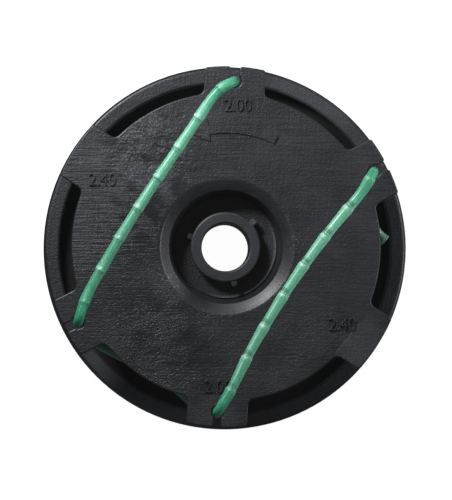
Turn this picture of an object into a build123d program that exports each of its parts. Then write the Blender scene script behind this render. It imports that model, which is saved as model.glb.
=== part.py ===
from build123d import *
from math import cos, radians, sin, tan
import os

# Spool moulding, in millimetres: axis on Z, standing on its lower flange
spool_diameter = 82.6
spool_height = 28.0

# Lower flange: a plain disc with a raised rim that keeps the turns in
lower_flange_thickness = 2.4
rim_width = 3.7
rim_height = 8.0
rim_outer_round = 0.9
rim_inner_round = 0.6
base_edge_round = 0.5

# Divider between the two line channels
divider_diameter = 68.8
divider_thickness = 1.8
divider_bottom = 13.0
divider_edge_round = 0.7

# Drum that both lines are wound on
drum_diameter = 39.0
drum_wall = 2.4
drum_corner_round = 0.6

# Cutting line and the room it leaves in its channel, in an eyelet and on the face
line_diameter = 2.4
winding_diameter = 62.8
turns_across = 4
winding_clearance = 0.15
eyelet_clearance = 0.6
face_clearance = 0.05

# Upper flange: a disc cut back at the rim, with straight-sided tabs left standing
upper_flange_thickness = 2.6
tab_count = 6
tab_width = 13.8
tab_setback = 0.35
tab_corner_round = 0.7
first_tab_angle = 87.0
recess_depth = 6.25
recess_corner_round = 1.5
flange_edge_round = 0.35

# Eyelets in four of the tabs, at these angles from the first tab, with an entry
# slit from the rim that is a little too narrow for the line to slip out of
eyelet_tab_angles = (0.0, 120.0, 180.0, 300.0)
eyelet_diameter = line_diameter + eyelet_clearance
eyelet_inset = 3.7
entry_slit_pinch = 0.5
entry_slit_width = line_diameter - entry_slit_pinch

# Sleeve that turns on the drive shaft, with three nubs that hold the spring
bore_diameter = 10.7
bore_bearing_length = 14.6
bore_entry_flare = 0.2
bore_edge_chamfer = 0.4
bore_lip_round = 0.3
sleeve_diameter = 16.0
sleeve_rise = 3.2
sleeve_edge_round = 0.5
nub_count = 3
first_nub_angle = 43.0
nub_diameter = 1.3
nub_reach = 1.1
nub_height = 1.8
nub_drop = 0.3

# Spring pocket round the sleeve: a floor with a fine groove at its foot, a wall with
# plenty of draft, and a funnel from its throat up to the face
spring_room = 3.5
floor_groove_width = 0.35
floor_groove_depth = 0.35
pocket_draft = 1.05
pocket_depth = 6.2
pocket_floor_thickness = 2.4
pocket_wall = 1.6
throat_edge_round = 0.25
funnel_width = 2.4
funnel_depth = 1.4
funnel_edge_round = 1.3

# Core-out under the hub, crossed by radial ribs
core_rib_count = 6
core_rib_thickness = 1.6
core_roof = 3.2

# Share of the shorter run that each bend of a line may take up
bend_share = 0.45

# Values that follow from the sizes above
outer_radius = spool_diameter / 2
tab_radius = outer_radius - tab_setback
disc_radius = outer_radius - recess_depth
drum_radius = drum_diameter / 2
divider_radius = divider_diameter / 2
divider_top = divider_bottom + divider_thickness
upper_flange_bottom = spool_height - upper_flange_thickness
hub_land_radius = (drum_radius + disc_radius) / 2
sleeve_radius = sleeve_diameter / 2
bore_radius = bore_diameter / 2
bore_entry_radius = bore_radius + bore_entry_flare
pocket_floor_radius = sleeve_radius + spring_room
pocket_foot_radius = pocket_floor_radius + floor_groove_width
throat_radius = pocket_foot_radius + pocket_draft
funnel_radius = throat_radius + funnel_width
throat_level = spool_height - funnel_depth
pocket_floor_level = throat_level - pocket_depth
groove_level = pocket_floor_level - floor_groove_depth
sleeve_top_level = pocket_floor_level + sleeve_rise
line_radius = line_diameter / 2
eyelet_radius = outer_radius - eyelet_inset


def eyelet_place(tab_angle):
    """Centre of the eyelet in the tab that stands at this angle from the first tab."""
    turn = radians(first_tab_angle + tab_angle)
    return eyelet_radius * cos(turn), eyelet_radius * sin(turn)


# Levels that the routes of the line are measured from
on_face = spool_height + line_radius + face_clearance
under_flange = upper_flange_bottom - line_radius

# Route of the line from the upper winding: out to an eyelet, over the face,
# down through another eyelet and under the flange, points chosen by hand
upper_line_route = [
    (18.36, 23.97, under_flange - 0.25), (10.5, 31.4, under_flange - 0.8),
    (*eyelet_place(0.0), under_flange - 1.7), (*eyelet_place(0.0), on_face + 1.45),
    (-2.2, 35.4, on_face + 1.5), (-7.4, 27.4, on_face + 0.35),
    (-14.7, 16.7, on_face), (-21.8, 5.9, on_face), (-28.3, -5.0, on_face),
    (-32.0, -11.9, on_face + 0.35), (*eyelet_place(120.0), on_face + 0.65),
    (*eyelet_place(120.0), under_flange - 1.6), (-30.2, -21.2, under_flange - 2.2),
    (-26.4, -23.3, under_flange - 2.5), (-22.8, -24.9, under_flange - 2.6),
    (-19.2, -26.9, under_flange - 2.7),
]

# Route of the line from the lower winding: up past the divider's edge first
lower_line_route = [
    (-21.35, -21.35, divider_bottom - 1.45), (-16.3, -27.6, divider_bottom - 1.9),
    (-7.2, -35.2, divider_bottom - 1.7), (-4.6, -37.0, divider_top + 2.1),
    (*eyelet_place(180.0), under_flange - 1.8), (*eyelet_place(180.0), on_face + 1.35),
    (1.3, -32.3, on_face + 0.55), (5.2, -24.0, on_face), (10.0, -15.8, on_face),
    (15.0, -7.9, on_face), (21.0, 0.5, on_face), (27.3, 8.3, on_face),
    (30.9, 12.4, on_face + 0.3), (*eyelet_place(300.0), on_face + 0.65),
    (*eyelet_place(300.0), under_flange - 1.6), (32.1, 10.3, under_flange - 2.8),
    (33.0, 6.7, under_flange - 3.3), (34.1, 3.5, under_flange - 3.6),
    (36.3, 1.6, under_flange - 3.7),
]


def round_corner(section, radius_and_level, corner_round):
    """Round the corner of a section that lies nearest to the given point."""
    corner = section.vertices().sort_by_distance(radius_and_level)[0]
    return fillet(corner, corner_round)


def turned(section):
    """Revolve a section, drawn as radius and level, about the spool's axis."""
    return revolve(Plane.XZ * section, Axis.Z)


def hub_and_lower_flanges():
    """Lower flange with its rim, drum, divider, upper land, funnel, spring pocket and sleeve."""
    rim_inner_radius = outer_radius - rim_width
    outline = [
        (bore_radius, 0),
        (outer_radius, 0),
        (outer_radius, rim_height),
        (rim_inner_radius, rim_height),
        (rim_inner_radius, lower_flange_thickness),
        (drum_radius, lower_flange_thickness),
        (drum_radius, divider_bottom),
        (divider_radius, divider_bottom),
        (divider_radius, divider_top),
        (drum_radius, divider_top),
        (drum_radius, upper_flange_bottom),
        (hub_land_radius, upper_flange_bottom),
        (hub_land_radius, spool_height),
        (funnel_radius, spool_height),
        (throat_radius, throat_level),
        (pocket_foot_radius, groove_level),
        (pocket_floor_radius, groove_level),
        (pocket_floor_radius, pocket_floor_level),
        (sleeve_radius, pocket_floor_level),
        (sleeve_radius, sleeve_top_level),
        (bore_entry_radius, sleeve_top_level),
        (bore_radius, bore_bearing_length),
    ]
    rounds = [
        ((outer_radius, 0), base_edge_round),
        ((outer_radius, rim_height), rim_outer_round),
        ((rim_inner_radius, rim_height), rim_inner_round),
        ((drum_radius, lower_flange_thickness), drum_corner_round),
        ((drum_radius, divider_bottom), drum_corner_round),
        ((divider_radius, divider_bottom), divider_edge_round),
        ((divider_radius, divider_top), divider_edge_round),
        ((drum_radius, divider_top), drum_corner_round),
        ((drum_radius, upper_flange_bottom), drum_corner_round),
        ((funnel_radius, spool_height), funnel_edge_round),
        ((throat_radius, throat_level), throat_edge_round),
        ((sleeve_radius, sleeve_top_level), sleeve_edge_round),
        ((bore_entry_radius, sleeve_top_level), bore_lip_round),
    ]
    section = make_face(Polyline(*outline, close=True))
    for place, corner_round in rounds:
        section = round_corner(section, place, corner_round)
    lower_bore_edge = section.vertices().sort_by_distance((bore_radius, 0))[0]
    return turned(chamfer(lower_bore_edge, bore_edge_chamfer))


def upper_flange():
    """Ring with straight-sided tabs out to the rim and eyelets in four of them."""
    angles = [first_tab_angle + 360 / tab_count * i for i in range(tab_count)]
    tabs = [Rot(0, 0, angle) * Pos(outer_radius / 2, 0) * Rectangle(outer_radius, tab_width)
            for angle in angles]
    outline = Circle(disc_radius) + (Circle(tab_radius) & Sketch() + tabs)
    inner_corners = outline.vertices().group_by(SortBy.DISTANCE)[0]
    outline = fillet(inner_corners, recess_corner_round)
    slit = Pos(outer_radius, 0) * Rectangle(2 * eyelet_inset, entry_slit_width)
    eyelet = Pos(eyelet_radius, 0) * Circle(eyelet_diameter / 2) + slit
    for tab_angle in eyelet_tab_angles:
        outline -= Rot(0, 0, first_tab_angle + tab_angle) * eyelet
    outer_corners = outline.vertices().group_by(SortBy.DISTANCE)[-1]
    outline = fillet(outer_corners, tab_corner_round)
    plate = extrude(Pos(0, 0, upper_flange_bottom) * outline, upper_flange_thickness)
    levels = plate.edges().group_by(Axis.Z)
    plate = fillet(levels[0] + levels[-1], flange_edge_round)
    return plate - Cylinder(hub_land_radius, 2 * spool_height, align=(Align.CENTER, Align.CENTER, Align.MIN))


def core_out():
    """Ring-shaped hollow under the hub that follows drum, pocket and sleeve, less its ribs."""
    outer = drum_radius - drum_wall
    pocket_outer = throat_radius + pocket_wall
    roof = spool_height - core_roof
    pocket_roof = pocket_floor_level - pocket_floor_thickness
    outline = [
        (sleeve_radius, 0),
        (outer, 0),
        (outer, roof),
        (pocket_outer, roof),
        (pocket_outer, pocket_roof),
        (sleeve_radius, pocket_roof),
    ]
    section = make_face(Polyline(*outline, close=True))
    hollow = turned(section)
    for i in range(core_rib_count):
        rib = Pos(drum_radius / 2, 0, spool_height / 2) * Box(drum_radius, core_rib_thickness, spool_height)
        hollow -= Rot(0, 0, first_tab_angle + 360 / core_rib_count * i) * rib
    return hollow


def spring_nubs():
    """Small upright nubs round the sleeve's upper end that the spring snaps under."""
    centre_radius = sleeve_radius + nub_reach - nub_diameter / 2
    centre_level = sleeve_top_level - nub_drop - nub_height / 2
    nubs = []
    for i in range(nub_count):
        nub = Pos(centre_radius, 0, centre_level) * Cylinder(nub_diameter / 2, nub_height)
        nubs.append(Rot(0, 0, first_nub_angle + 360 / nub_count * i) * nub)
    return nubs


def spool_moulding():
    """The whole spool, one moulding."""
    body = hub_and_lower_flanges() + upper_flange()
    body -= core_out()
    for nub in spring_nubs():
        body += nub
    return body


def line_tube(route):
    """Plain round line along straight runs joined by tangent bends as large as the runs allow."""
    points = [Vector(*p) for p in route]
    radii = []
    for before, here, after in zip(points, points[1:], points[2:]):
        turn = (here - before).get_angle(after - here)
        shorter = min((here - before).length, (after - here).length)
        radii.append(bend_share * shorter / tan(radians(turn / 2)))
    path = FilletPolyline(*points, radius=radii)
    section = Plane(points[0], z_dir=points[1] - points[0]) * Circle(line_radius)
    print("bend radii", [round(r, 1) for r in radii], "length", round(path.length, 1))
    return sweep(section, path)


def winding(channel_bottom, channel_top):
    """All turns in one channel as one solid, with the outer turns standing out as ridges."""
    bottom = channel_bottom + winding_clearance
    top = channel_top - winding_clearance
    inner = drum_radius + winding_clearance
    outer_turn = winding_diameter / 2 - line_radius
    pitch = (top - bottom) / turns_across
    section = Pos((inner + outer_turn) / 2, (bottom + top) / 2) * Rectangle(outer_turn - inner, top - bottom)
    section = fillet(section.vertices().group_by(Axis.X)[0], drum_corner_round)
    for i in range(turns_across):
        section += Pos(outer_turn, bottom + pitch * (i + 0.5)) * Circle(line_radius)
    return turned(section)


upper_line_end = line_tube(upper_line_route)
lower_line_end = line_tube(lower_line_route)
parts = {
    "spool_body": spool_moulding(),
    "upper_line_winding": winding(divider_top, upper_flange_bottom) - upper_line_end,
    "lower_line_winding": winding(lower_flange_thickness, divider_bottom) - lower_line_end,
    "upper_line_end": upper_line_end,
    "lower_line_end": lower_line_end,
}

os.makedirs("parts", exist_ok=True)
for name, solid in parts.items():
    export_step(solid, f"parts/{name}.step")
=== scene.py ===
import math
import bpy
from mathutils import Matrix, Quaternion, Vector


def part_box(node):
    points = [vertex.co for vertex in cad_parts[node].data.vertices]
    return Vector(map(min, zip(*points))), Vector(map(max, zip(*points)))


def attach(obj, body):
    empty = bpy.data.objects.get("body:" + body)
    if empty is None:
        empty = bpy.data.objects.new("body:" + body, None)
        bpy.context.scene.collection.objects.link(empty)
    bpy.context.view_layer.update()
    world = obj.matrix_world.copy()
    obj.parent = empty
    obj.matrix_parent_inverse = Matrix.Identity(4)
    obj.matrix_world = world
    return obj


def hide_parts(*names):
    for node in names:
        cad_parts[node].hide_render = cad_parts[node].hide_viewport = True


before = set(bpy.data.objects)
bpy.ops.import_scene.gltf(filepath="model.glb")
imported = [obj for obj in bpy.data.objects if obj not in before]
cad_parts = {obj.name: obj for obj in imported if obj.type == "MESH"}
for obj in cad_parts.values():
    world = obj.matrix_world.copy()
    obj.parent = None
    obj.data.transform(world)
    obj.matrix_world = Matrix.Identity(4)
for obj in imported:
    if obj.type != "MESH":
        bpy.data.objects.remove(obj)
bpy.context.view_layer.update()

# Spool body: one black glass-filled nylon moulding with two line channels, a tabbed upper
# flange and a sleeve for the drive shaft. It is the solid model itself, with the finish of a
# used moulding: fine drag marks and stipple over the face, pale scuffed places and dark
# smudges, and painted light and shade on parts of the face, the flanges and the hub.

mm = 0.001
axis = (0.0, 0.0, 0.0)
face_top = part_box("spool_body")[1][2]

# Heights of the moulding's surfaces, in millimetres
face_level = face_top / mm
funnel_level = 27.2
sleeve_level = 23.6
floor_level = 20.4
rim_level = 8.0


class Shade:
    """A socket of a material's node tree, with arithmetic that adds Math nodes."""

    def __init__(self, tree, socket=None):
        self.tree = tree
        self.socket = socket

    def node(self, kind, settings, sockets, output=0):
        """Add a node, set it up, feed its sockets and return one of its outputs."""
        made = self.tree.nodes.new(kind)
        for name, setting in settings.items():
            setattr(made, name, setting)
        for name, value in sockets.items():
            if isinstance(value, Shade):
                self.tree.links.new(value.socket, made.inputs[name])
            else:
                made.inputs[name].default_value = value
        return Shade(self.tree, made.outputs[output])

    def maths(self, operation, *values):
        """One arithmetic step on these values."""
        return self.node("ShaderNodeMath", {"operation": operation}, dict(enumerate(values)))

    def __add__(self, other):
        return self.maths("ADD", self, other)

    def __sub__(self, other):
        return self.maths("SUBTRACT", self, other)

    def __rsub__(self, other):
        return self.maths("SUBTRACT", other, self)

    def __mul__(self, other):
        return self.maths("MULTIPLY", self, other)

    __radd__ = __add__
    __rmul__ = __mul__

    def rise(self, low, high):
        """Smooth step from 0 at the low value to 1 at the high one."""
        return self.node("ShaderNodeMapRange", {"interpolation_type": "SMOOTHSTEP"},
                         {"Value": self, "From Min": low, "From Max": high})

    def stretched(self, scale):
        """This place, stretched along its axes."""
        return self.node("ShaderNodeMapping", {}, {"Vector": self, "Scale": scale})

    def noise(self, scale, detail=3.0, roughness=0.55):
        """Cloudy noise at this place, about 0.5 on average."""
        return self.node("ShaderNodeTexNoise", {},
                         {"Vector": self, "Scale": scale, "Detail": detail, "Roughness": roughness})

    def along(self, direction):
        """How far this place lies along a direction."""
        return self.node("ShaderNodeVectorMath", {"operation": "DOT_PRODUCT"},
                         {0: self, 1: direction}, "Value")

    def blot(self, centre, inner, outer):
        """1 within the inner distance of a point, fading to 0 at the outer one, all in millimetres."""
        apart = self.node("ShaderNodeVectorMath", {"operation": "DISTANCE"},
                          {0: self, 1: [c * mm for c in centre]}, "Value")
        return 1.0 - apart.rise(inner * mm, outer * mm)

    def tint(self, first, second):
        """A colour between two, by this value."""
        # For colours, sockets 0, 6 and 7 are the share and the two colours, and output 2 is the mix
        return self.node("ShaderNodeMix", {"data_type": "RGBA"}, {0: self, 6: first, 7: second}, 2)


def new_material(name):
    """An empty material with a Principled shader; returns it, a Shade to build with and the shader."""
    material = bpy.data.materials.new(name)
    material.use_nodes = True
    tree = material.node_tree
    shader = tree.nodes["Principled BSDF"]
    return material, Shade(tree), shader


def feed(shader, shade, socket):
    """Link a shade into one of the shader's sockets."""
    shade.tree.links.new(shade.socket, shader.inputs[socket])


def flange_scuffs_and_painted_light(place, height):
    """Pale rubs on a tab, a line across its foot and an edge; painted light on the lowest tab and the
    rim.
    """
    foot_direction = (0.777, -0.629, 0.0)
    foot_distance = 34.42 * mm
    beyond_foot = place.along(foot_direction) - foot_distance
    right_tab = beyond_foot.rise(0.0, 0.25 * mm) * place.blot((29.5, -21.5, face_level), 4.0, 8.0)
    foot_line = beyond_foot.rise(-0.2 * mm, 0.0) * (1.0 - beyond_foot.rise(0.0, 0.2 * mm))
    foot_line = foot_line * place.blot((27.5, -20.7, face_level), 3.5, 5.0)
    # Painted light on the lowest tab
    low_tab = place.blot((-2.2, -39.0, face_level), 3.0, 7.0)
    low_edge = place.blot((14.5, -29.5, face_level), 1.5, 7.0)
    # Painted light on the rim at the lower left and the upper right
    low_rim = place.blot((-17.0, -36.0, rim_level), 6.0, 24.0)
    painted_light_upper_rim = place.blot((22.5, 34.6, rim_level), 4.0, 17.0) * height.rise(7.2 * mm, 7.8 * mm)
    tab_scuffs_and_painted_light = 0.10 * right_tab + 0.3 * foot_line + 0.08 * low_tab + 0.05 * low_edge
    return tab_scuffs_and_painted_light + 0.32 * low_rim + 0.12 * painted_light_upper_rim


def hub_scuffs_and_painted_light(place, from_axis, height, slopes, sleeve_end):
    """How pale the hub is: rubbed on funnel and sleeve, a pale floor spot, painted highlights on a nub
    and floor edge.
    """
    funnel_left = place.blot((-12.6, -7.6, funnel_level), 1.0, 6.0)
    funnel_low = place.blot((0.5, -14.0, funnel_level), 1.0, 6.0)
    funnel_rim = (1.0 - from_axis.blot(axis, 13.2, 15.2)) * from_axis.blot(axis, 16.0, 17.0)
    # Painted highlight on the top of one nub
    nub = place.blot((6.3, 5.9, 23.3), 0.9, 1.3)
    floor_spot = place.blot((10.2, -0.5, floor_level), 1.5, 5.0)
    # Painted highlight along the pocket floor's outer edge at the lower right
    floor_edge = from_axis.blot(axis, 11.5, 11.65) * (1.0 - from_axis.blot(axis, 10.9, 11.2))
    floor_edge = floor_edge * height.rise(20.2 * mm, 20.3 * mm)
    floor_edge = floor_edge * (1.0 - height.rise(20.5 * mm, 20.6 * mm))
    floor_edge = floor_edge * place.along((0.77, -0.64, 0.0)).rise(3.0 * mm, 9.0 * mm)
    rubbed_funnel = slopes * (0.08 * (funnel_left + funnel_low) + 0.07 * funnel_rim)
    return rubbed_funnel + 0.09 * sleeve_end + 0.30 * nub + 0.06 * floor_spot + 0.45 * floor_edge


def black_nylon():
    """Satin black nylon: drag marks, stipple, pale rubs, smudges, a dusty bloom, painted light and shade.
    """
    nylon_dark = (0.0072, 0.0078, 0.0098, 1.0)
    nylon_pale = (0.021, 0.0225, 0.030, 1.0)
    pale_for_scuffs_and_light = (0.155, 0.16, 0.175, 1.0)
    channel_dark = (0.002, 0.002, 0.002, 1.0)
    bump_depth = 0.18 * mm

    # Where a point lies: its height, its place round the axis, and whether on the face or a slope
    material, shade, shader = new_material("black_nylon")
    place = shade.node("ShaderNodeTexCoord", {}, {}, "Object")
    height = place.along((0.0, 0.0, 1.0))
    from_axis = place.stretched((1.0, 1.0, 0.0))
    on_face = height.rise((face_level - 0.4) * mm, (face_level - 0.1) * mm)
    facing = shade.node("ShaderNodeNewGeometry", {}, {}, "Normal").along((0.0, 0.0, 1.0))
    slopes = facing.rise(0.3, 0.6) * (1.0 - facing.rise(0.93, 0.985))
    sleeve_end = place.blot((0.0, 0.0, sleeve_level), 7.9, 8.5) * height.rise(22.8 * mm, 23.4 * mm)

    # Grain of the moulding, from tool marks and stipple to broad clouds
    drag_marks = place.stretched((110.0, 3100.0, 300.0)).noise(1.0, 2.0, 0.6)
    cross_marks = place.stretched((1900.0, 260.0, 300.0)).noise(1.0, 3.0, 0.6)
    stipple = place.noise(2100.0, 3.0, 0.65)
    blisters = place.stretched((1000.0, 1400.0, 1000.0)).noise(1.0, 3.0, 0.6)
    patches = place.stretched((260.0, 380.0, 260.0)).noise(1.0, 3.0, 0.6)
    clouds = place.noise(110.0, 4.0, 0.6)

    # Worn areas of the face: dragged at the left, stippled at the upper left, rough along the
    # bottom, and soiled at the left in dark smudges, with paler patches between the upper ones
    dragged = place.blot((-30.0, 8.0, face_level), 6.0, 24.0)
    stippled = place.blot((-17.0, 23.0, face_level), 2.0, 16.0) * clouds.rise(0.36, 0.6)
    rough_left = place.blot((-13.0, -22.0, face_level), 5.0, 22.0)
    rough_right = place.blot((19.0, -24.0, face_level), 5.0, 17.0)
    rough_low = (rough_left + 0.7 * rough_right) * clouds.rise(0.38, 0.6)
    soiled_top = place.blot((-19.0, 18.0, face_level), 6.0, 20.0)
    soiled_left = place.blot((-17.5, 0.5, face_level), 4.0, 14.0)
    soiled_low = place.blot((-13.0, -24.0, face_level), 5.0, 18.0)
    smudges = (soiled_top + 0.55 * soiled_left + 0.5 * soiled_low) * patches.rise(0.43, 0.62)
    pale_patches = soiled_top * (1.0 - patches.rise(0.36, 0.48))
    # Painted shade: a soft painted shadow to the right of the upper line, and a darker face at the lower
    # left
    painted_shade_left = place.blot((-19.5, -4.5, face_level), 6.0, 22.0)
    painted_shade_left = painted_shade_left + place.blot((-15.0, -26.0, face_level), 4.0, 16.0)

    # Relief: deeper where the face is worn, partly filled by smudges and rubbed smooth on slopes
    drag_depth = 0.42 + dragged
    cross_depth = 0.4
    grain_depth = 0.70 + 1.3 * stippled + 0.8 * rough_low
    blister_depth = 0.3 + 2.0 * stippled + 0.3 * rough_low
    face_relief = drag_depth * drag_marks + cross_depth * cross_marks
    face_relief = face_relief + grain_depth * stipple + blister_depth * blisters
    mean_relief = 0.5 * (drag_depth + cross_depth + grain_depth + blister_depth)
    face_relief = mean_relief + (face_relief - mean_relief) * (1.0 - 0.6 * smudges)
    plain_relief = 0.7 * stipple + 0.3 * cross_marks
    relief = on_face * face_relief + (1.0 - on_face) * plain_relief
    relief = relief * (1.0 - 0.75 * slopes) * (1.0 - 0.5 * sleeve_end)

    # Scuffs: pale specks on the tops of the grain, mottled stipple and plainly rubbed places, and painted
    # light on the flanges and the hub
    hub_scuff = place.blot((-12.6, -7.6, 27.6), 1.0, 7.0)
    edge_scuff = place.blot((15.6, 1.2, face_level), 0.4, 3.0)
    speckled = 0.85 * stippled + 0.15 * rough_low + 0.5 * hub_scuff + 0.9 * edge_scuff
    mottle = stippled * blisters.rise(0.5, 0.72) * (1.0 - smudges)
    scuffs_and_painted_light = stipple.rise(0.54, 0.7) * speckled + 0.5 * mottle + 0.06 * hub_scuff + 0.06 * pale_patches
    scuffs_and_painted_light = scuffs_and_painted_light + flange_scuffs_and_painted_light(place, height)
    scuffs_and_painted_light = scuffs_and_painted_light + hub_scuffs_and_painted_light(place, from_axis, height, slopes, sleeve_end)

    # Painted shade inside the lower rim, where the channel is seen through the gaps between the tabs:
    # near black, and dull
    in_channel = from_axis.blot(axis, 37.4, 37.8) * height.rise(0.4 * mm, 0.8 * mm)
    in_channel = in_channel * (1.0 - height.rise(6.5 * mm, 7.5 * mm))

    # Colour: black with a dusty bloom, made stronger towards the top as painted light and weaker in
    # painted shade, under the pale marks
    pale_top = place.along((0.25, 0.97, 0.0)).rise(-26.0 * mm, 30.0 * mm)
    bloom = (0.5 * clouds + 0.5 * drag_marks).rise(0.34, 0.68) * (0.4 + 0.6 * pale_top)
    bloom = bloom * (1.0 - 0.6 * painted_shade_left) * (1.0 - 0.7 * smudges) * (1.0 - in_channel)
    colour = scuffs_and_painted_light.tint(bloom.tint(nylon_dark, nylon_pale), pale_for_scuffs_and_light)
    feed(shader, in_channel.tint(colour, channel_dark), "Base Color")

    # Sheen: satin, glossier on the dark areas and most slopes, and dull inside the rim
    inner_funnel = slopes * from_axis.blot(axis, 12.8, 14.9)
    dark_floor = place.blot((-6.0, -7.5, floor_level), 3.0, 6.0)
    roughness = 0.365 + 0.20 * clouds + 0.06 * stipple - 0.10 * slopes + 0.07 * inner_funnel
    roughness = roughness - 0.09 * painted_shade_left - 0.07 * smudges - 0.08 * dark_floor
    feed(shader, roughness + 0.45 * in_channel, "Roughness")
    shader.inputs["Specular IOR Level"].default_value = 0.4
    normal = shade.node("ShaderNodeBump", {}, {"Strength": 1.0, "Distance": bump_depth, "Height": relief})
    feed(shader, normal, "Normal")
    return material


nylon = black_nylon()
spool_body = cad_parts["spool_body"]
spool_body.material_slots[0].material = nylon


# Cutting line: two lengths of waxy green nylon, drawn with six soft ridges and twisted in steps.
# Each is wound in its own channel, in layers from the drum outwards, comes up through an
# eyelet, lies across the face and is tucked down through a second eyelet.

line_radius = 1.10 * mm
ridge_count = 6
ridge_height = 0.035 * mm
points_a_ridge = 6
points_round = ridge_count * points_a_ridge

# A twist step turns slowly, then quickly near its end, where a shoulder swells and falls away
twist_step = 8.22 * mm
steady_twist = 0.3
quick_twist_start = 0.8
shoulder_height = 0.30 * mm
shoulder_sharpness = 3
shoulder_fall = 0.90
glint_rise = 0.08
glint_fade = 0.2

# Near its end a turn shifts across to its next seat and climbs to the next layer
layers = 5
turns_across = 4
first_layer_radius = 20.85 * mm
outer_layer_radius = 30.2 * mm
shift_start = 0.70
shift_end = 0.84
climb_start = 0.86
wander_height = 0.05 * mm
wander_a_turn = 5.0
wander_along_turn = 9.0
points_a_turn = 16
spline_steps = 40
wound_thinning = 8


def smooth_share(share, low, high):
    """0 before the low value, 1 after the high one, and a smooth rise between."""
    x = min(max((share - low) / (high - low), 0.0), 1.0)
    return x * x * (3.0 - 2.0 * x)


def wound_turns(exit_point, channel_low, channel_high):
    """Control points of all turns in a channel, ending just before the point where the line leaves."""
    exit_angle = math.atan2(exit_point[1], exit_point[0])
    pitch = (channel_high - channel_low) / turns_across
    layer_step = (outer_layer_radius - first_layer_radius) / (layers - 1)
    # The spline cuts inside its control points, so they stand further out
    overshoot = 4.0 / (3.0 + math.cos(math.tau / points_a_turn))

    def seat(turn):
        """Radius and height of a turn, layer by layer and to and fro across the channel."""
        layer, place = divmod(min(turn, layers * turns_across - 1), turns_across)
        if layer % 2:
            place = turns_across - 1 - place
        return first_layer_radius + layer_step * layer, channel_low + pitch * (place + 0.5)

    points = []
    for turn in range(layers * turns_across):
        radius, level = seat(turn)
        next_radius, next_level = seat(turn + 1)
        for k in range(points_a_turn):
            share = k / points_a_turn
            r = overshoot * (radius + (next_radius - radius) * smooth_share(share, climb_start, 1.0))
            z = level + (next_level - level) * smooth_share(share, shift_start, shift_end)
            wander = wander_height * math.sin(wander_a_turn * turn + wander_along_turn * share)
            angle = exit_angle + math.tau * share
            points.append((r * math.cos(angle), r * math.sin(angle), z + wander))
    return points


def spline_points(name, controls):
    """Points along a smooth spline with these control points."""
    curve = bpy.data.curves.new(name, "CURVE")
    curve.dimensions = "3D"
    spline = curve.splines.new("NURBS")
    spline.points.add(len(controls) - 1)
    for point, place in zip(spline.points, controls):
        point.co = (*place, 1.0)
    spline.order_u = 3
    spline.use_endpoint_u = True
    spline.resolution_u = spline_steps
    holder = bpy.data.objects.new(name, curve)
    path = bpy.data.meshes.new_from_object(holder)
    points = [v.co.copy() for v in path.vertices]
    bpy.data.objects.remove(holder)
    bpy.data.curves.remove(curve)
    bpy.data.meshes.remove(path)
    return points


def line_section(share):
    """Points round the line at this share of a twist step: soft ridges, swelling to a shoulder."""
    shoulder = shoulder_height * share ** shoulder_sharpness
    shoulder = shoulder * (1.0 - smooth_share(share, shoulder_fall, 1.0))
    points = []
    for k in range(points_round):
        angle = math.tau * k / points_round
        radius = line_radius + shoulder + ridge_height * math.cos(ridge_count * angle)
        points.append((radius * math.cos(angle), radius * math.sin(angle)))
    return points


def twist_at(step, share):
    """Turn of the section: slow along each step, then quick to the next."""
    quick = smooth_share(share, quick_twist_start, 1.0)
    return math.tau / ridge_count * (step + steady_twist * share + (1.0 - steady_twist) * quick)


def twisted_line(name, points, first_step, glint_from, glint_to):
    """Mesh of a twisted line along these points, with each point's share of its twist step and glint."""
    before = [points[0]] + points[:-1]
    after = points[1:] + [points[-1]]
    tangents = [(b - a).normalized() for a, b in zip(before, after)]
    side = tangents[0].orthogonal().normalized()
    vertices = []
    shares = []
    glints = []
    travelled = first_step
    for i, (point, tangent) in enumerate(zip(points, tangents)):
        if i:
            travelled += (point - points[i - 1]).length
            side = tangents[i - 1].rotation_difference(tangent) @ side
        side = (side - tangent * side.dot(tangent)).normalized()
        step, share = divmod(travelled / twist_step, 1.0)
        across = Quaternion(tangent, twist_at(step, share)) @ side
        up = tangent.cross(across)
        vertices += [point + across * x + up * y for x, y in line_section(share)]
        shares += [share] * points_round
        brightening = smooth_share(share, glint_from, glint_from + glint_rise)
        fading = smooth_share(share, glint_to - glint_fade, glint_to)
        glints += [brightening * (1.0 - fading)] * points_round
    faces = []
    for i in range(len(points) - 1):
        a, b = i * points_round, (i + 1) * points_round
        for k in range(points_round):
            n = (k + 1) % points_round
            faces.append((a + k, a + n, b + n, b + k))
    last = (len(points) - 1) * points_round
    faces.append(tuple(reversed(range(points_round))))
    faces.append(tuple(range(last, last + points_round)))
    mesh = bpy.data.meshes.new(name)
    mesh.from_pydata(vertices, [], faces)
    mesh.attributes.new("twist_share", "FLOAT", "POINT").data.foreach_set("value", shares)
    mesh.attributes.new("glint", "FLOAT", "POINT").data.foreach_set("value", glints)
    for polygon in mesh.polygons:
        polygon.use_smooth = len(polygon.vertices) == 4
    line = bpy.data.objects.new(name, mesh)
    bpy.context.scene.collection.objects.link(line)
    return line


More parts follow.
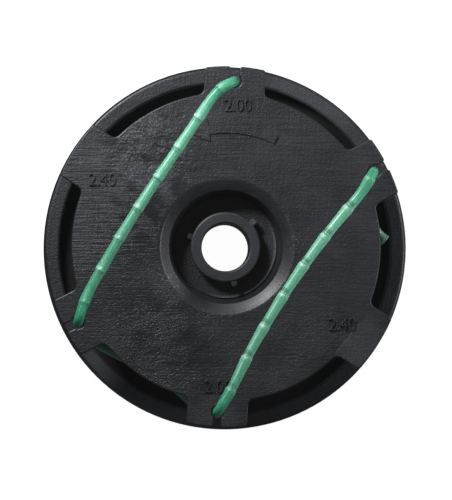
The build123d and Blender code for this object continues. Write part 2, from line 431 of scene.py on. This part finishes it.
def green_line_nylon():
    """Waxy green nylon that light soaks into, with painted light, shade and highlights along it."""
    line_dim_green = (0.044, 0.245, 0.147, 1.0)
    line_lit_green = (0.167, 0.475, 0.328, 1.0)
    line_shaded_green = (0.030, 0.29, 0.165, 1.0)
    painted_highlight_white = (0.37, 0.59, 0.51, 1.0)
    edge_light_green = (0.34, 0.66, 0.51, 1.0)
    painted_shade_green = (0.025, 0.14, 0.080, 1.0)
    bump_depth = 0.03 * mm
    material, shade, shader = new_material("green_line_nylon")
    place = shade.node("ShaderNodeTexCoord", {}, {}, "Object")
    twist_share = shade.node("ShaderNodeAttribute", {"attribute_name": "twist_share"}, {}, "Fac")
    glint = shade.node("ShaderNodeAttribute", {"attribute_name": "glint"}, {}, "Fac")
    outwards = shade.node("ShaderNodeNewGeometry", {}, {}, "Normal")
    towards_key_light = outwards.along((-0.32, 0.20, 0.926))
    # Painted light on the side of the line that faces the right
    painted_edge_light = outwards.along((0.85, -0.53, 0.0)).rise(0.45, 0.98)
    streaks = place.noise(420.0, 3.0, 0.5)
    fine = place.noise(2400.0, 2.0, 0.5)

    # Painted shade near the four eyelets, and painted light making the line lighter towards the upper
    # right, with random streaks
    eyelets = [(1.97, 37.55), (-33.5, -17.07), (-1.97, -37.55), (33.5, 17.07)]
    at_eyelet = sum(place.blot((x, y, 29.6), 4.0, 11.0) for x, y in eyelets)
    in_the_open = 1.0 - 0.6 * at_eyelet
    along_painted_light = place.along((0.894, 0.448, 0.0))
    painted_light_and_streaks = along_painted_light.rise(-45.0 * mm, 22.0 * mm) + 0.3 * streaks - 0.15

    # Painted highlights at the end of a twist step and along the edge towards the key light, and painted
    # shade in the creases
    patches = twist_share.rise(0.80, 0.88) * towards_key_light.rise(0.55, 0.95) * streaks.rise(0.25, 0.6)
    painted_edge_glint = glint * towards_key_light.rise(0.95, 0.99) * along_painted_light.rise(-27.0 * mm, -9.0 * mm)
    after_twist = (1.0 - twist_share.rise(0.08, 0.16)) * (1.0 - glint)
    creases = (twist_share.rise(0.93, 0.95) + after_twist) * towards_key_light.rise(0.3, 0.8)
    # Painted shade on the tucked end of the lower line
    tucked_end = place.blot((35.5, 2.5, 18.4), 6.0, 9.0)

    line_colour = painted_light_and_streaks.tint(line_dim_green, line_lit_green)
    tones = [
        (0.55 * painted_edge_light, edge_light_green),
        (0.64 * patches * in_the_open, painted_highlight_white),
        (0.64 * painted_edge_glint * in_the_open, painted_highlight_white),
        (0.65 * creases, painted_shade_green),
        (0.68 * at_eyelet, line_shaded_green),
        (0.85 * tucked_end, painted_shade_green),
    ]
    for strength, tone in tones:
        line_colour = strength.tint(line_colour, tone)
    feed(shader, line_colour, "Base Color")
    feed(shader, 0.42 + 0.05 * fine - 0.14 * glint, "Roughness")
    shader.inputs["Subsurface Weight"].default_value = 0.9
    shader.inputs["Subsurface Radius"].default_value = (0.7, 1.0, 0.85)
    shader.inputs["Subsurface Scale"].default_value = 3.0 * mm
    shader.inputs["IOR"].default_value = 1.53
    normal = shade.node("ShaderNodeBump", {}, {"Strength": 0.1, "Distance": bump_depth, "Height": fine})
    feed(shader, normal, "Normal")
    return material


line_nylon = green_line_nylon()
upper_line_route = [
    (0.01836, 0.02397, 0.02395), (0.0105, 0.0314, 0.0234), (0.00197, 0.03755, 0.0225),
    (0.00197, 0.03755, 0.0307), (-0.0022, 0.0354, 0.03075), (-0.0074, 0.0274, 0.0296),
    (-0.0147, 0.0167, 0.02925), (-0.0218, 0.0059, 0.02925), (-0.0283, -0.0050, 0.02925),
    (-0.0320, -0.0119, 0.0296), (-0.0335, -0.01707, 0.0299), (-0.0335, -0.01707, 0.0226),
    (-0.0302, -0.0212, 0.0208), (-0.0264, -0.0233, 0.0192), (-0.0228, -0.0249, 0.0186),
    (-0.0192, -0.0269, 0.0184),
]
lower_line_route = [
    (-0.02135, -0.02135, 0.01155), (-0.0163, -0.0276, 0.0111), (-0.0072, -0.0352, 0.0113),
    (-0.0046, -0.0370, 0.0169), (-0.00197, -0.03755, 0.0224), (-0.00197, -0.03755, 0.0306),
    (0.0013, -0.0323, 0.0298), (0.0052, -0.0240, 0.02925), (0.0100, -0.0158, 0.02925),
    (0.0150, -0.0079, 0.02925), (0.0210, 0.0005, 0.02925), (0.0273, 0.0083, 0.02925),
    (0.0309, 0.0124, 0.02955), (0.0335, 0.01707, 0.0299), (0.0335, 0.01707, 0.0226),
    (0.0321, 0.0103, 0.0206), (0.0330, 0.0067, 0.0194), (0.0341, 0.0035, 0.0186),
    (0.0363, 0.0016, 0.0182),
]

# Name, route, how far into a twist step the line starts, and where in a step its glint starts and ends
lines = [
    ("upper_line", upper_line_route, 3.1 * mm, 0.0, 0.62),
    ("lower_line", lower_line_route, 5.7 * mm, 0.12, 0.85),
]
for name, route, first_step, glint_from, glint_to in lines:
    channel_low, channel_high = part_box(name + "_winding")
    turns = wound_turns(route[0], channel_low[2], channel_high[2])
    path = spline_points(name + "_path", turns + route)
    wound_points = len(turns) * spline_steps
    path = path[:wound_points:wound_thinning] + path[wound_points:]
    line = twisted_line(name, path, first_step, glint_from, glint_to)
    line.data.materials.append(line_nylon)
    # The real line lets light through to the face, so it throws no shadow
    line.visible_shadow = False
    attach(line, "root")
    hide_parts(name + "_winding", name + "_end")


# Raised marks on the face: line gauges in plain figures beside the tabs, and a curved arrow for
# the winding direction. They are part of the moulding, so they have its finish.

mark_height = 0.38 * mm
mark_edge = 0.06 * mm
mark_root = 0.2 * mm


def finish_mark(mark, name):
    """Give a raised mark the moulding's finish and fix it to the spool."""
    mark.name = name
    mark.data.materials.clear()
    mark.data.materials.append(nylon)
    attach(mark, "root")


gauge_height = 2.9 * mm
gauge_narrowing = 0.88
figure_share_of_size = 0.7
gauges = [
    ("gauge_top", "2.00", (2.7 * mm, 31.9 * mm)),
    ("gauge_left", "2.40", (-28.0 * mm, 15.1 * mm)),
    ("gauge_right", "2.40", (26.3 * mm, -17.7 * mm)),
    ("gauge_bottom", "2.00", (-1.8 * mm, -31.8 * mm)),
]
for name, figures, (x, y) in gauges:
    bpy.ops.object.select_all(action="DESELECT")
    bpy.ops.object.text_add(location=(0.0, 0.0, 0.0))
    text = bpy.context.object
    text.data.body = figures
    text.data.align_x = "CENTER"
    text.data.align_y = "CENTER"
    text.data.size = gauge_height / figure_share_of_size
    text.data.extrude = (mark_height + mark_root) / 2 - mark_edge
    text.data.bevel_depth = mark_edge
    text.data.bevel_resolution = 1
    text.data.offset = -mark_edge
    bpy.ops.object.convert(target="MESH")
    text.location = (x, y, face_top + (mark_height - mark_root) / 2)
    text.scale = (gauge_narrowing, 1.0, 1.0)
    bpy.ops.object.transform_apply(location=True, rotation=True, scale=True)
    finish_mark(text, name)

arrow_inner = 25.8 * mm
arrow_outer = 27.7 * mm
barb_reach = 1.7 * mm
tail_angle = math.radians(65.0)
neck_angle = math.radians(98.5)
tip_angle = math.radians(107.0)
arc_steps = 24


def on_arc(radius, angle):
    """The point at this radius and angle round the spool's axis."""
    return radius * math.cos(angle), radius * math.sin(angle)


arc = [tail_angle + (neck_angle - tail_angle) * i / arc_steps for i in range(arc_steps + 1)]
arrow_outline = [on_arc(arrow_inner, a) for a in arc]
arrow_outline.append(on_arc(arrow_inner - barb_reach, neck_angle))
arrow_outline.append(on_arc((arrow_inner + arrow_outer) / 2, tip_angle))
arrow_outline.append(on_arc(arrow_outer + barb_reach, neck_angle))
arrow_outline += [on_arc(arrow_outer, a) for a in reversed(arc)]
arrow_mesh = bpy.data.meshes.new("winding_arrow")
arrow_mesh.from_pydata([(x, y, face_top - mark_root) for x, y in arrow_outline], [],
                       [tuple(reversed(range(len(arrow_outline))))])
arrow = bpy.data.objects.new("winding_arrow", arrow_mesh)
bpy.context.scene.collection.objects.link(arrow)
bpy.ops.object.select_all(action="DESELECT")
bpy.context.view_layer.objects.active = arrow
arrow.select_set(True)
bpy.ops.object.mode_set(mode="EDIT")
bpy.ops.mesh.select_all(action="SELECT")
bpy.ops.mesh.extrude_region_move(TRANSFORM_OT_translate={"value": (0.0, 0.0, mark_root + mark_height)})
bpy.ops.mesh.select_all(action="SELECT")
bpy.ops.mesh.normals_make_consistent(inside=False)
bpy.ops.object.mode_set(mode="OBJECT")
finish_mark(arrow, "winding_arrow")


# Studio: a pale light table under the spool, a soft light from the upper left of the picture, a
# weaker and lower one from its right, and a long lens that looks almost straight down.


def soft_light(name, azimuth, elevation, distance, width, height, power):
    """Soft light of this width and height, aimed at the spool from this direction."""
    data = bpy.data.lights.new(name, "AREA")
    data.shape = "RECTANGLE"
    data.size = width
    data.size_y = height
    data.energy = power
    lamp = bpy.data.objects.new(name, data)
    a, e = math.radians(azimuth), math.radians(elevation)
    back = Vector((math.cos(a) * math.cos(e), math.sin(a) * math.cos(e), math.sin(e)))
    lamp.location = back * distance
    lamp.rotation_euler = back.to_track_quat("Z", "Y").to_euler()
    bpy.context.scene.collection.objects.link(lamp)


soft_light("key_light", azimuth=127.0, elevation=44.5, distance=0.20,
           width=0.04, height=0.04, power=0.45)
soft_light("side_light", azimuth=8.0, elevation=25.0, distance=0.15,
           width=0.14, height=0.04, power=0.11)

world = bpy.data.worlds.new("studio")
world.use_nodes = True
world.node_tree.nodes["Background"].inputs["Color"].default_value = (0.95, 0.97, 1.0, 1.0)
world.node_tree.nodes["Background"].inputs["Strength"].default_value = 0.10
bpy.context.scene.world = world

# The table looks white, but it neither lights the spool nor shows in its gloss
table_size = 6.0
table_drop = 0.1 * mm
table_dark = (0.16, 0.16, 0.16, 1.0)
table_pale = (0.18, 0.18, 0.18, 1.0)
bpy.ops.object.select_all(action="DESELECT")
bpy.ops.mesh.primitive_plane_add(size=table_size, location=(0.0, 0.0, -table_drop))
floor = bpy.context.object
floor.name = "light_table"
table_white, table_shade, table_shader = new_material("light_table_white")
table_place = table_shade.node("ShaderNodeTexCoord", {}, {}, "Object")
feed(table_shader, table_place.noise(3.0).tint(table_dark, table_pale), "Base Color")
table_shader.inputs["Roughness"].default_value = 0.8
table_shader.inputs["Emission Color"].default_value = (1.0, 1.0, 1.0, 1.0)
table_shader.inputs["Emission Strength"].default_value = 0.98
floor.data.materials.append(table_white)
floor.visible_glossy = False
floor.visible_diffuse = False

# The lens and the aim give the spool the scale and the place that it has in the picture
frame_height = 500
pixels_a_metre = 4415.0
spool_centre_pixel = (226.03, 246.74)
frame_centre_pixel = (226.0, 250.0)
lean = (-0.0146, -0.0161)
camera_distance = 3.2
camera_data = bpy.data.cameras.new("camera")
camera_data.sensor_width = 36.0
camera_data.lens = camera_data.sensor_width * camera_distance * pixels_a_metre / frame_height
camera_data.clip_end = 20.0
camera = bpy.data.objects.new("camera", camera_data)
bpy.context.scene.collection.objects.link(camera)
aim = Vector(((frame_centre_pixel[0] - spool_centre_pixel[0]) / pixels_a_metre,
              (spool_centre_pixel[1] - frame_centre_pixel[1]) / pixels_a_metre, face_top))
back = Vector((*lean, 1.0)).normalized()
right = Vector((0.0, 1.0, 0.0)).cross(back).normalized()
turn = Matrix((right, back.cross(right), back)).transposed()
camera.rotation_euler = turn.to_euler()
camera.location = aim + back * camera_distance
bpy.context.scene.camera = camera

# The darkest tones are lifted a little
black_lift = 0.0035
view = bpy.context.scene.view_settings
view.view_transform = "Standard"
view.use_curve_mapping = True
view.curve_mapping.black_level = (-black_lift, -black_lift, -black_lift)
view.curve_mapping.update()
